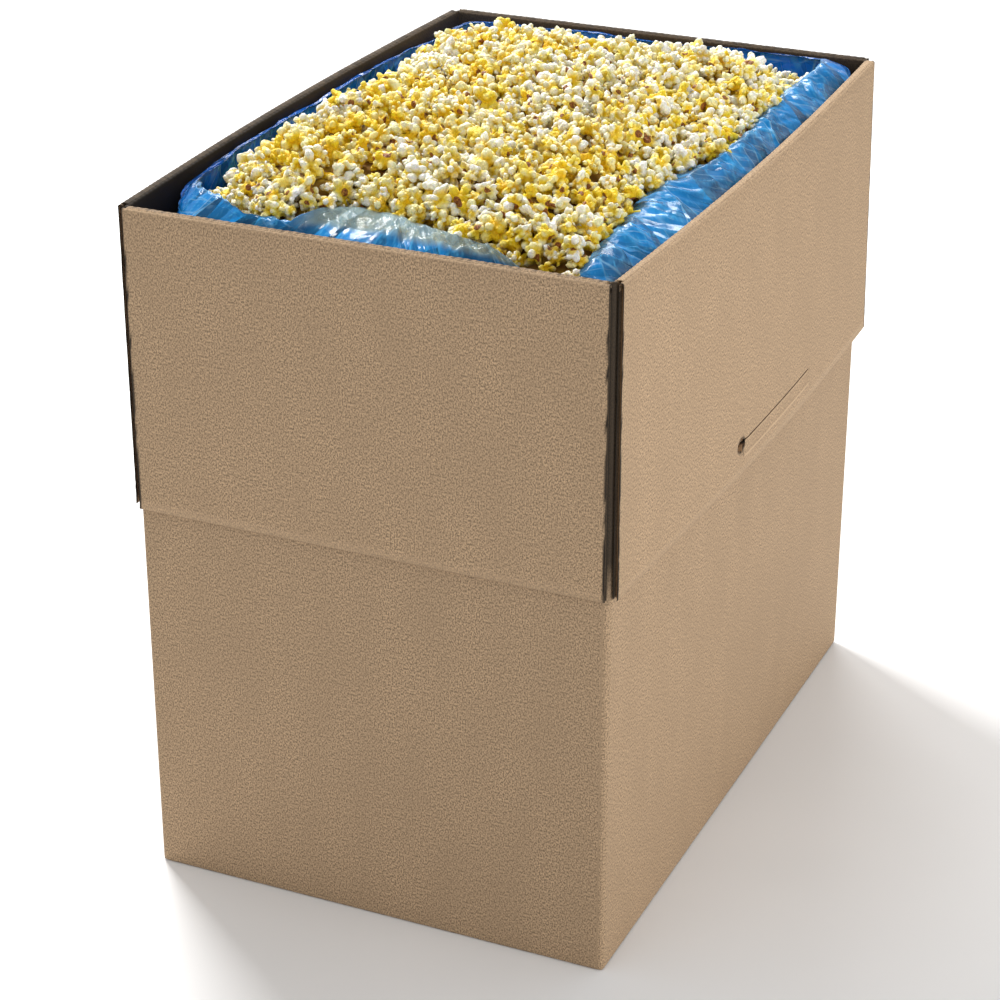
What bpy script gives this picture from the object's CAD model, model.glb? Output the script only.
"""Looks of a lined corrugated carton heaped with popcorn.

X runs across the carton, -Y out of its front wall and Z up, in metres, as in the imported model.
"""

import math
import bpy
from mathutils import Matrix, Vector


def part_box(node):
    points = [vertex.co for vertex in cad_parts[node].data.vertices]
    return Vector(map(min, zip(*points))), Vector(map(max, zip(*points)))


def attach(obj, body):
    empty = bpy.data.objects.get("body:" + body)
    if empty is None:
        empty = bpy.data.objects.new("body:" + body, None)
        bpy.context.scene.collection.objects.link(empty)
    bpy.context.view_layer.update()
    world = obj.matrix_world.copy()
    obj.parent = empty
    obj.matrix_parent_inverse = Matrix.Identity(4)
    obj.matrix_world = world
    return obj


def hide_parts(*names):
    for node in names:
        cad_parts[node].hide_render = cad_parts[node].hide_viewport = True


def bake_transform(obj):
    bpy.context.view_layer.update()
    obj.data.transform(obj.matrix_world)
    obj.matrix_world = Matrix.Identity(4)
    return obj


bl_info = {
    "name": "Lined Carton of Popcorn",
    "version": (1, 0, 0),
    "blender": (4, 5, 0),
    "location": "3D View > Sidebar > Popcorn Carton",
    "description": "Builds the board, film, popcorn and studio of a lined carton of popcorn",
    "category": "Object",
}

import bpy
import numpy as np

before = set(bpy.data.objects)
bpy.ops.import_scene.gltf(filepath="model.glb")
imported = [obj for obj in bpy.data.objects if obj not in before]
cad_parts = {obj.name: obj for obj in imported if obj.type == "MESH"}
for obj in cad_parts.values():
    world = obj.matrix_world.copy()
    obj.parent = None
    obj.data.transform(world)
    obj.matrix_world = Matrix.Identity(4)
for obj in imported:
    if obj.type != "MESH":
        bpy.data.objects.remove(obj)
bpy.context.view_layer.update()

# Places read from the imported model
CARTON_HIGH = np.array(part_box("carton_body")[1])
FLAP_LOW, FLAP_HIGH = (np.array(corner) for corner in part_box("flap_front"))
RIM = CARTON_HIGH[2]
HALF_DEPTH = CARTON_HIGH[1]
WALL_BULGE = 0.008
HALF_WIDTH = CARTON_HIGH[0] - WALL_BULGE
FLAP_LENGTH = RIM - FLAP_LOW[2]
FLAP_GAP = -HALF_DEPTH - FLAP_HIGH[1]
BOARD = FLAP_HIGH[1] - FLAP_LOW[1]
FLAP_HALF_WIDTH = FLAP_HIGH[0]
FLAP_END_RECESS = HALF_WIDTH - FLAP_HALF_WIDTH
FLOOR = 2 * BOARD
INSIDE_HALF_WIDTH = HALF_WIDTH - BOARD
INSIDE_HALF_DEPTH = HALF_DEPTH - BOARD

# Forms that the solids were made with
BULGE_FULL_HEIGHT = 0.300
FLAP_LEAN = 0.005
SLIT_FRONT = -0.048
SLIT_BACK = 0.118
SLIT_DROP = 0.222
SLIT_WIDTH = 0.0016
FILM = 0.001
FILM_GAP = 0.0008
BAG_SHARPNESS_LOW = 18.0
BAG_SHARPNESS_TOP = 7.0
FRONT_RIGHT_SHARPNESS_GAIN = 9.0
NARROW_HEM = 0.003
RIGHT_HEM = 0.030
RIGHT_SWELL = 0.017
RIGHT_SWELL_Y = -0.115
FRONT_HEM = 0.014
RIGHT_CORNER_TUCK = 0.011
TONGUE_WIDTH = 0.042
TONGUE_LEFT = -0.066
TONGUE_PEAK = -0.024
SHOULDER_WIDTH = 0.021
CUFF_SWELL = 0.0170
CUFF_CORNER_SHARPNESS = 60.0
TOP_DROP = {"left": 0.0045, "right": 0.009, "front": 0.009, "back": 0.003}
HEAP_CROWN = 0.028
HEAP_EDGE = 0.004
LEFT_DROP = 0.024
BACK_DROP = 0.014
FRONT_LEFT_DROP = 0.016
HEAP_RIPPLE = 0.004
LEFT_BANK = 0.024
BACK_BANK = 0.024

# Finer forms of the looks alone
SIDES = ("front", "back", "left", "right")
# Steps of the film along the right, back, left and front sides
FILM_STEPS = (300, 140, 190, 290)
# The film's folds: cycles round the bag, slant and weight
FOLD_SETS = ((24, 0.40, 1.0), (44, -0.55, 0.90), (72, 0.75, 0.55), (112, -0.45, 0.26), (190, 1.10, 0.09))
LOBES = 11
KNOBS = 2
HULL_PIT = 0.56
HULL_SHARE = 0.85
# How far up the film its wall's top and its hem are
WALL_TOP = 2.0
HEM = 4.0
# Layers of loose pieces: spacing, jitter, clearances from cuff and wall and reach under the tongue, lift over
# the heap, cells along a cube's edge, and farthest distance from the hem
LAYERS = (
    (0.0150, 0.0036, (-0.0050, 0.0110, 0.028), -0.0030, 6, 1.000),
    (0.0205, 0.0055, (0.0020, 0.0140, 0.000), 0.0045, 8, 1.000),
    (0.0150, 0.0045, (0.0005, 0.0140, 0.012), 0.0010, 7, 0.022),
)
LEFT_ROOM = 0.008
BACK_ROOM = 0.003
NARROW_FRONT = 0.022
UNDER_FILM = 0.0125
LARGEST_UNDER_FILM = 0.0088
END_REACH = 0.0025
CREASE_RECESS = 0.0035
TONGUE_RIGHT = 0.150
OUTER_FACE = BOARD * 0.9
SLIT_EDGES = (-0.0016, -0.0008, 0.0008, 0.0016)
FOLD_LINE = 0.0010
# The film's facets: cells to the metre along and across, slant, tilt and share
CRUMPLES = ((22.0, 11.0, 0.5, 3.0, 0.60), (58.0, 17.0, -0.6, 1.4, 0.80), (135.0, 28.0, 0.9, 0.36, 0.50))
# Kinds of popcorn: name, flesh, butter and least amount of butter
KINDS = (
    ("white", (0.94, 0.93, 0.88), (0.93, 0.86, 0.42), 0.00),
    ("ivory", (0.94, 0.93, 0.86), (0.93, 0.81, 0.20), 0.02),
    ("cream", (0.94, 0.93, 0.84), (0.93, 0.77, 0.09), 0.08),
    ("pale", (0.94, 0.93, 0.79), (0.92, 0.73, 0.04), 0.15),
    ("buttery", (0.94, 0.92, 0.67), (0.92, 0.71, 0.018), 0.22),
    ("golden", (0.94, 0.91, 0.54), (0.91, 0.67, 0.008), 0.30),
)


# Sizes and colours that a user would change

def colour_setting(name, description, default):
    """A colour that a user can change."""
    return bpy.props.FloatVectorProperty(name=name, description=description, subtype="COLOR", size=3,
                                         default=default, min=0.0, max=1.0)


def length_setting(name, description, default):
    """A length in metres that a user can change."""
    return bpy.props.FloatProperty(name=name, description=description, default=default, unit="LENGTH")


def angle_setting(name, description, degrees):
    """An angle that a user can change."""
    return bpy.props.FloatProperty(name=name, description=description, default=math.radians(degrees),
                                   subtype="ANGLE")


class BoardSettings(bpy.types.PropertyGroup):
    """The corrugated board."""
    colour: colour_setting("Kraft Colour", "Colour of the board's paper", (0.37, 0.255, 0.154))
    edge_colour: colour_setting("Cut Edge Colour", "Colour of the wavy paper inside the board",
                                (0.15, 0.085, 0.042))
    flute_pitch: length_setting("Flute Pitch", "Distance from wave to wave in the board", 0.0063)
    paper: length_setting("Paper Thickness", "Thickness of one paper face", 0.0005)


class FilmSettings(bpy.types.PropertyGroup):
    """The blue film bag."""
    colour: colour_setting("Film Colour", "Colour of the film", (0.000, 0.215, 0.58))
    thickness: length_setting("Film Thickness", "Thickness of the modelled film", 0.00020)
    crumple: length_setting("Crumple Depth", "Height of the folds in the film", 0.0062)


class PopcornSettings(bpy.types.PropertyGroup):
    """The popcorn."""
    radius: length_setting("Piece Radius", "Middle radius of a piece of popcorn", 0.0098)
    spread: bpy.props.FloatProperty(
        name="Size Spread", description="How uneven the pieces are in size", default=0.2, min=0.0, max=0.5)
    seed: bpy.props.IntProperty(
        name="Seed", description="Start of the random draws", default=7)


class StageSettings(bpy.types.PropertyGroup):
    """The camera, the lights and the floor."""
    azimuth: angle_setting("Azimuth", "Angle of the camera round the carton", 23.99)
    elevation: angle_setting("Elevation", "Angle of the camera above the horizon", 25.48)
    distance: length_setting("Distance", "Distance from the camera to the point it looks at", 2.402)
    focal_pixels: bpy.props.FloatProperty(
        name="Focal Length", description="Focal length in pixels of a frame 1000 pixels wide", default=2756.8)


# Shared shapes

def smooth_step(value):
    """Rise from 0 to 1 with level ends: 3 v squared less 2 v cubed."""
    value = np.clip(value, 0.0, 1.0)
    return value * value * (3.0 - 2.0 * value)


def side_bulge(y, z):
    """Outward bow of a side wall: a half cosine along it times a quarter sine up to the full height."""
    along = np.maximum(0.0, np.cos(np.pi * y / (2 * HALF_DEPTH)))
    up = np.sin(0.5 * np.pi * np.clip(z / BULGE_FULL_HEIGHT, 0.0, 1.0))
    return WALL_BULGE * along * up


def rim_bow(y):
    """Outward bow of a side wall along the carton's rim."""
    return side_bulge(y, RIM)


def bulged(points, half_width):
    """Move points outward with the side walls, in proportion to how near each is to one."""
    moved = points.copy()
    share = np.clip(points[..., 0] / half_width, -1.0, 1.0)
    moved[..., 0] += share * side_bulge(points[..., 1], points[..., 2])
    return moved


def flute_wave(along, pitch):
    """The board's flutes as a cosine from 0 to 1."""
    return 0.5 + 0.5 * np.cos(2 * math.pi * along / pitch)


def both_sides(numbers):
    """The numbers of a sheet's points, once for each of its two faces."""
    return np.tile(numbers.ravel(), 2)


def both_maps(first, second):
    """Map of a sheet's two faces from two numbers for each point."""
    return np.tile(np.stack(np.broadcast_arrays(first, second), axis=-1).reshape(-1, 2), (2, 1))


def lattice_noise(u, v, seed, wrap=None):
    """Smooth noise from -1 to 1: random values on whole numbers, blended by smooth steps between them."""
    table = np.random.default_rng(seed).uniform(-1.0, 1.0, (256, 256))
    column = np.floor(u).astype(int)
    row = np.floor(v).astype(int)
    across = smooth_step(u - column)
    up = smooth_step(v - row)
    first = column % wrap if wrap else column
    second = (column + 1) % wrap if wrap else column + 1
    low = table[row % 256, first % 256] * (1 - across) + table[row % 256, second % 256] * across
    high = table[(row + 1) % 256, first % 256] * (1 - across) + table[(row + 1) % 256, second % 256] * across
    return low * (1 - up) + high * up


def grid_faces(rows, columns, closed=False):
    """Four-sided faces of a grid of points numbered row by row, joined round if closed."""
    last_column = columns if closed else columns - 1
    row, column = np.meshgrid(np.arange(rows - 1), np.arange(last_column), indexing="ij")
    following = (column + 1) % columns
    corners = (row * columns + column, row * columns + following,
               (row + 1) * columns + following, (row + 1) * columns + column)
    return np.stack(corners, axis=-1).reshape(-1, 4)


def edge_walls(faces, count):
    """Faces that join the open edges of a sheet to the same edges of its copy, numbered count higher."""
    starts = faces.ravel()
    ends = np.roll(faces, -1, axis=1).ravel()
    keys = starts * (count + 1) + ends
    reverse = ends * (count + 1) + starts
    is_open = ~np.isin(keys, reverse)
    first, second = starts[is_open], ends[is_open]
    return np.stack((second, first, first + count, second + count), axis=-1)


def thickened(points, faces, normals, thickness):
    """Give a sheet a thickness: its points, a copy moved back along the normals, and walls at open edges."""
    points, normals = points.reshape(-1, 3), normals.reshape(-1, 3)
    count = len(points)
    both = np.concatenate((points, points - normals * thickness))
    back = faces[:, ::-1] + count
    return both, np.concatenate((faces, back, edge_walls(faces, count)))


def grid_normals(grid):
    """Unit normals of a grid of points: the cross product of its two directions of travel."""
    down, across = np.gradient(grid, axis=(0, 1))
    normals = np.cross(across, down)
    return normals / np.maximum(np.linalg.norm(normals, axis=-1, keepdims=True), 1e-12)


def facing(grid, place, outward):
    """Faces and normals of a grid of points, turned so that the normal at one place points outward."""
    faces = grid_faces(*grid.shape[:2])
    normals = grid_normals(grid)
    if np.dot(normals[place], outward) < 0:
        return faces[:, ::-1], -normals
    return faces, normals


def joined(parts):
    """Points and faces of several meshes as one, with each mesh's point numbers moved on."""
    starts = np.cumsum([0] + [len(part[0]) for part in parts])
    points = np.concatenate([part[0] for part in parts])
    return points, np.concatenate([part[1] + start for part, start in zip(parts, starts)])


def new_piece(name, points, faces, materials, face_material=None, values=None, board_map=None,
              wrap=None):
    """Put points and four-sided faces into a mesh object, with values for each point and a map in metres.

    Where the map runs round a closed band, wrap is its length, and the last face's corners run on past it.
    """
    mesh = bpy.data.meshes.new(name)
    mesh.vertices.add(len(points))
    mesh.vertices.foreach_set("co", np.ascontiguousarray(points, dtype=np.float32).ravel())
    mesh.loops.add(faces.size)
    mesh.loops.foreach_set("vertex_index", np.ascontiguousarray(faces, dtype=np.int32).ravel())
    mesh.polygons.add(len(faces))
    mesh.polygons.foreach_set("loop_start", np.arange(len(faces), dtype=np.int32) * 4)
    mesh.polygons.foreach_set("use_smooth", np.ones(len(faces), dtype=bool))
    if face_material is not None:
        mesh.polygons.foreach_set("material_index", face_material.astype(np.int32))
    for material in materials:
        mesh.materials.append(material)
    mesh.update(calc_edges=True)
    for label, numbers in (values or {}).items():
        mesh.attributes.new(label, "FLOAT", "POINT").data.foreach_set("value", numbers.astype(np.float32))
    if board_map is not None:
        layer = mesh.uv_layers.new(name="board")
        corners = board_map[faces]
        if wrap:
            behind = corners[..., 0] < corners[..., 0].max(axis=1, keepdims=True) - wrap / 2
            corners[..., 0] += wrap * behind
        layer.data.foreach_set("uv", corners.astype(np.float32).ravel())
    piece = bpy.data.objects.new(name, mesh)
    bpy.context.scene.collection.objects.link(piece)
    return piece


# Materials

def shade(colour, factor):
    """A colour made darker, or lighter up to full."""
    return tuple(min(1.0, channel * factor) for channel in colour)


def tinted(colour, factors):
    """A colour with a factor of its own for each channel."""
    return tuple(channel * factor for channel, factor in zip(colour, factors))


class Nodes:
    """A material's nodes, added and joined by short calls."""

    def __init__(self, name):
        self.material = bpy.data.materials.new(name)
        self.material.use_nodes = True
        self.tree = self.material.node_tree
        self.shader = self.tree.nodes["Principled BSDF"]

    def add(self, kind, settings=(), **inputs):
        """Add a node of a kind, with its settings and its inputs, each a value or another node's output."""
        node = self.tree.nodes.new(kind)
        for label, value in dict(settings).items():
            setattr(node, label, value)
        for label, value in inputs.items():
            self.join(node, label.replace("_", " "), value)
        return node

    def join(self, node, label, value):
        """Set an input, or join it to an output."""
        socket = node.inputs[int(label)] if label.isdigit() else node.inputs[label]
        if isinstance(value, bpy.types.NodeSocket):
            self.tree.links.new(value, socket)
        else:
            socket.default_value = value

    def math(self, operation, first, second=0.0):
        """One sum on two numbers."""
        node = self.add("ShaderNodeMath", {"operation": operation})
        self.join(node, "0", first)
        self.join(node, "1", second)
        return node.outputs[0]

    def vector(self, operation, first, second=(0.0, 0.0, 0.0), **inputs):
        """One sum on two vectors."""
        node = self.add("ShaderNodeVectorMath", {"operation": operation}, **inputs)
        self.join(node, "0", first)
        self.join(node, "1", second)
        return node.outputs[1 if operation == "DOT_PRODUCT" else 0]

    def blend(self, amount, first, second):
        """Blend two colours by an amount."""
        node = self.add("ShaderNodeMix", {"data_type": "RGBA"})
        self.join(node, "0", amount)
        for label, value in (("6", first), ("7", second)):
            is_output = isinstance(value, bpy.types.NodeSocket)
            self.join(node, label, value if is_output else (*value, 1.0))
        return node.outputs[2]

    def times(self, first, second):
        """The product of two numbers."""
        return self.math("MULTIPLY", first, second)

    def plus(self, first, second):
        """The sum of two numbers."""
        return self.math("ADD", first, second)

    def split(self, vector):
        """The three numbers of a vector."""
        return self.add("ShaderNodeSeparateXYZ", Vector=vector).outputs

    def object_place(self):
        """The place of each point in the piece's own metres."""
        return self.add("ShaderNodeTexCoord").outputs["Object"]

    def map_place(self):
        """The place of each point on the piece's own map in metres."""
        return self.add("ShaderNodeUVMap", {"uv_map": "board"}).outputs[0]

    def noise(self, vector, scale, detail=3.0, roughness=0.5):
        """Noise between 0 and 1 on a vector."""
        node = self.add("ShaderNodeTexNoise", Vector=vector, Scale=scale, Detail=detail, Roughness=roughness)
        return node.outputs["Fac"]

    def ramp(self, value, stops):
        """Map a number smoothly from one range, the first two stops, to another, the last two."""
        node = self.add("ShaderNodeMapRange", {"interpolation_type": "SMOOTHSTEP"}, Value=value)
        for label, number in zip(("From Min", "From Max", "To Min", "To Max"), stops):
            self.join(node, label, number)
        return node.outputs[0]

    def stretched(self, vector, scale):
        """A vector scaled differently in each direction."""
        return self.add("ShaderNodeMapping", Vector=vector, Scale=scale).outputs[0]

    def attribute(self, label):
        """A number stored on the mesh's points."""
        return self.add("ShaderNodeAttribute", {"attribute_name": label}).outputs["Fac"]

    def bump(self, height, distance, strength=1.0):
        """Relief from a height."""
        node = self.add("ShaderNodeBump", Height=height, Distance=distance, Strength=strength)
        self.join(self.shader, "Normal", node.outputs[0])

    def finish(self, **inputs):
        """Set the shader's own inputs."""
        for label, value in inputs.items():
            name = label.replace("_", " ")
            if isinstance(value, tuple) and len(value) == 3 and name != "Subsurface Radius":
                value = (*value, 1.0)
            self.join(self.shader, name, value)
        return self.material


def kraft_paper(name, settings, brightness=1.0):
    """Kraft paper: short fibres, specks, soft clouds, and marks of wear and grime.

    The relief holds the fibres and the faint stripes of the flutes under the paper.
    """
    nodes = Nodes(name)
    place = nodes.map_place()
    base = shade(settings.colour, brightness)
    light = shade(base, 1.56)
    dark = shade(base, 0.46)
    fibres = nodes.noise(nodes.stretched(place, (900.0, 560.0, 1.0)), 1.0, 2.0, 0.6)
    specks = nodes.noise(nodes.stretched(place, (1200.0, 900.0, 1.0)), 1.0, 1.0, 0.5)
    clouds = nodes.noise(nodes.stretched(place, (30.0, 11.0, 1.0)), 1.0, 3.0, 0.55)
    colour = nodes.blend(nodes.ramp(fibres, (0.32, 0.68, 0.0, 1.0)), dark, light)
    colour = nodes.blend(nodes.ramp(specks, (0.62, 0.76, 0.0, 0.55)), colour, shade(base, 0.48))
    colour = nodes.blend(nodes.ramp(specks, (0.38, 0.24, 0.0, 0.45)), colour, light)
    colour = nodes.blend(nodes.ramp(clouds, (0.25, 0.75, 0.0, 0.35)), colour, shade(base, 0.84))
    worn = tuple(min(1.0, channel * 1.30 + 0.02) for channel in base)
    colour = nodes.blend(nodes.attribute("worn"), colour, worn)
    colour = nodes.blend(nodes.attribute("grime"), colour, shade(base, 0.045))
    flute = nodes.math("SINE", nodes.times(nodes.split(place)[0], 2 * math.pi / settings.flute_pitch))
    relief = nodes.plus(nodes.times(fibres, 0.8), nodes.times(flute, 0.10))
    nodes.bump(relief, 0.00016, 0.45)
    rough = nodes.ramp(fibres, (0.2, 0.8, 0.74, 0.92))
    return nodes.finish(Base_Color=colour, Roughness=rough, Specular_IOR_Level=0.28)


def flute_paper(settings):
    """The rough brown paper inside the board, seen at its cut edges."""
    nodes = Nodes("flute paper")
    place = nodes.object_place()
    fibres = nodes.noise(place, 1400.0, 3.0, 0.6)
    base = tuple(settings.edge_colour)
    soot = (0.006, 0.004, 0.003)
    colour = nodes.blend(nodes.ramp(fibres, (0.3, 0.75, 0.0, 1.0)), base, shade(base, 1.9))
    colour = nodes.blend(nodes.attribute("grime"), colour, soot)
    nodes.bump(fibres, 0.0003, 0.6)
    return nodes.finish(Base_Color=colour, Roughness=0.93, Specular_IOR_Level=0.2)


def film_facets(nodes, place):
    """Relief, pale folds and tone of crumpled film, from three sets of long slanted cells on its map.

    Each cell tilts its part of the surface its own way, like a facet, and has its own grey tone. The folds
    are the cells' edges, which come and go.
    """
    middle = (0.5, 0.5, 0.5)
    wander = nodes.add("ShaderNodeTexNoise", Vector=place, Scale=16.0, Detail=1.0).outputs["Color"]
    shift = nodes.vector("SCALE", nodes.vector("SUBTRACT", wander, middle), Scale=0.016)
    bent = nodes.split(nodes.vector("ADD", place, shift))
    total = sum(crumple[4] for crumple in CRUMPLES)
    relief, folds, tone = 0.0, 0.0, 0.0
    for along, across, slant, tilt, share in CRUMPLES:
        first = nodes.plus(nodes.times(bent[0], along), nodes.times(bent[1], along * slant))
        spot = nodes.add("ShaderNodeCombineXYZ", X=first, Y=nodes.times(bent[1], across)).outputs[0]
        flat = {"voronoi_dimensions": "2D"}
        cell = nodes.add("ShaderNodeTexVoronoi", flat, Vector=spot, Scale=1.0).outputs
        flat["feature"] = "DISTANCE_TO_EDGE"
        edge = nodes.add("ShaderNodeTexVoronoi", flat, Vector=spot, Scale=1.0).outputs["Distance"]
        lean = nodes.vector("DOT_PRODUCT", nodes.vector("SUBTRACT", spot, cell["Position"]),
                            nodes.vector("SUBTRACT", cell["Color"], middle))
        relief = nodes.plus(relief, nodes.times(lean, tilt))
        tone = nodes.plus(tone, nodes.times(nodes.split(cell["Color"])[0], share / total))
        shown = nodes.ramp(nodes.noise(spot, 0.8, 1.0, 0.5), (0.53, 0.64, 0.0, share))
        line = nodes.times(nodes.ramp(edge, (0.0, FOLD_LINE * along, 1.0, 0.0)), shown)
        folds = nodes.math("MAXIMUM", folds, line)
    return relief, folds, tone


def blue_film(settings):
    """Glossy see-through film, crumpled into flat facets that meet at sharp pale folds.

    The facets run from deep to bright blue. The film on the left and back walls is bluer still and has a dark
    rim, and where it lies over the heap it is paler and lets the popcorn show through.
    """
    nodes = Nodes("blue film")
    place = nodes.map_place()
    relief, folds, tone = film_facets(nodes, place)
    base = tuple(settings.colour)
    far_deep, far_bright = (0.0, 0.08, 0.50), (0.0, 0.175, 1.0)
    depth = nodes.ramp(tone, (0.30, 0.70, 0.0, 1.0))
    colour = nodes.blend(depth, shade(base, 0.46), base)
    colour = nodes.blend(nodes.attribute("far"), colour, nodes.blend(depth, far_deep, far_bright))
    sheen = nodes.ramp(nodes.noise(place, 34.0, 2.0, 0.6), (0.54, 0.74, 0.0, 0.34))
    thin = nodes.attribute("thin")
    over = ((sheen, (0.06, 0.44, 0.80)),
            (nodes.times(folds, 0.62), (0.34, 0.66, 0.90)),
            (nodes.times(nodes.attribute("crease"), 0.6), (0.08, 0.48, 0.86)),
            (nodes.times(nodes.attribute("rim"), 0.75), (0.0, 0.06, 0.24)),
            (nodes.times(thin, 0.70), (0.52, 0.68, 0.62)))
    for amount, paint in over:
        colour = nodes.blend(amount, colour, paint)
    alpha = nodes.math("SUBTRACT", 0.95, nodes.times(thin, 0.55))
    alpha = nodes.math("MAXIMUM", alpha, nodes.times(folds, 0.9))
    nodes.bump(relief, 0.01)
    return nodes.finish(Base_Color=colour, Roughness=0.18, Specular_IOR_Level=0.17, Coat_Weight=0.20,
                        Coat_Roughness=0.06, Alpha=alpha)


def popped_corn(name, flesh, butter):
    """Popped corn: pale flesh, butter on one side and in the creases, and a torn brown hull in its pit."""
    nodes = Nodes(name)
    place = nodes.object_place()
    mottle = nodes.math("SUBTRACT", nodes.noise(place, 170.0, 2.0, 0.5), 0.5)
    grain = nodes.noise(place, 950.0, 2.0, 0.6)
    dark_brown, light_brown = (0.13, 0.030, 0.004), (0.46, 0.17, 0.02)
    amount = nodes.plus(nodes.attribute("butter"), nodes.times(mottle, 0.9))
    colour = nodes.blend(nodes.ramp(amount, (0.0, 1.0, 0.0, 1.0)), flesh, butter)
    in_crease = nodes.ramp(nodes.attribute("crease"), (0.26, 0.95, 0.0, 0.85))
    colour = nodes.blend(in_crease, colour, tinted(butter, (0.97, 0.78, 0.12)))
    sunk = nodes.times(nodes.attribute("sunk"), 0.42)
    colour = nodes.blend(sunk, colour, tinted(butter, (0.78, 0.55, 0.07)))
    brown = nodes.blend(nodes.ramp(grain, (0.35, 0.7, 0.0, 1.0)), dark_brown, light_brown)
    hull = nodes.plus(nodes.attribute("hull"), nodes.times(mottle, 0.8))
    colour = nodes.blend(nodes.ramp(hull, (0.42, 0.62, 0.0, 1.0)), colour, brown)
    blisters = nodes.add("ShaderNodeTexVoronoi", Vector=place, Scale=330.0).outputs[0]
    rounded = nodes.times(nodes.math("POWER", blisters, 2.0), 1.1)
    nodes.bump(nodes.math("SUBTRACT", nodes.times(grain, 0.5), rounded), 0.0022, 0.8)
    return nodes.finish(Base_Color=colour, Roughness=0.50, Specular_IOR_Level=0.40,
                        Subsurface_Weight=0.20, Subsurface_Scale=0.003, Subsurface_Radius=(1.0, 0.75, 0.30))


def heap_body():
    """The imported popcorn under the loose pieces: small yellow lumps with dark gaps."""
    nodes = Nodes("packed popcorn")
    place = nodes.object_place()
    yellow, gap = (0.62, 0.42, 0.055), (0.14, 0.065, 0.008)
    lumps = nodes.add("ShaderNodeTexVoronoi", {"feature": "SMOOTH_F1"}, Vector=place, Scale=110.0).outputs[0]
    colour = nodes.blend(nodes.ramp(lumps, (0.05, 0.55, 0.0, 1.0)), yellow, gap)
    nodes.bump(nodes.times(lumps, -1.0), 0.004, 0.8)
    return nodes.finish(Base_Color=colour, Roughness=0.85, Specular_IOR_Level=0.2)


# Board pieces

def rounded_outline(half_width, half_depth, radius, spacing):
    """Points round a rectangle with arcs at its corners, from the front right corner on, with their normals.

    Each side is a straight run and each corner a quarter circle; distance is the length travelled.
    """
    runs = []
    corners = ((1, -1, -90.0), (1, 1, 0.0), (-1, 1, 90.0), (-1, -1, 180.0))
    for index, (sign_x, sign_y, start) in enumerate(corners):
        angles = np.radians(start + np.linspace(0.0, 90.0, 7)[:-1])
        centre = np.array((sign_x * (half_width - radius), sign_y * (half_depth - radius)))
        arc_normals = np.stack((np.cos(angles), np.sin(angles)), axis=-1)
        arc = centre + radius * arc_normals
        side_length = 2 * ((half_depth if index % 2 == 0 else half_width) - radius)
        steps = max(2, int(round(side_length / spacing)))
        end_angle = math.radians(start + 90.0)
        outward = np.array((math.cos(end_angle), math.sin(end_angle)))
        travel = np.array((-outward[1], outward[0]))
        side_start = centre + radius * outward
        places = side_start + travel * (np.arange(steps) / steps * side_length)[:, None]
        runs.append((np.concatenate((arc, places)),
                     np.concatenate((arc_normals, np.repeat(outward[None], steps, axis=0)))))
    points = np.concatenate([run[0] for run in runs])
    normals = np.concatenate([run[1] for run in runs])
    steps = np.linalg.norm(np.diff(points, axis=0), axis=-1)
    return points, normals, np.concatenate(((0.0,), np.cumsum(steps)))


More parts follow.
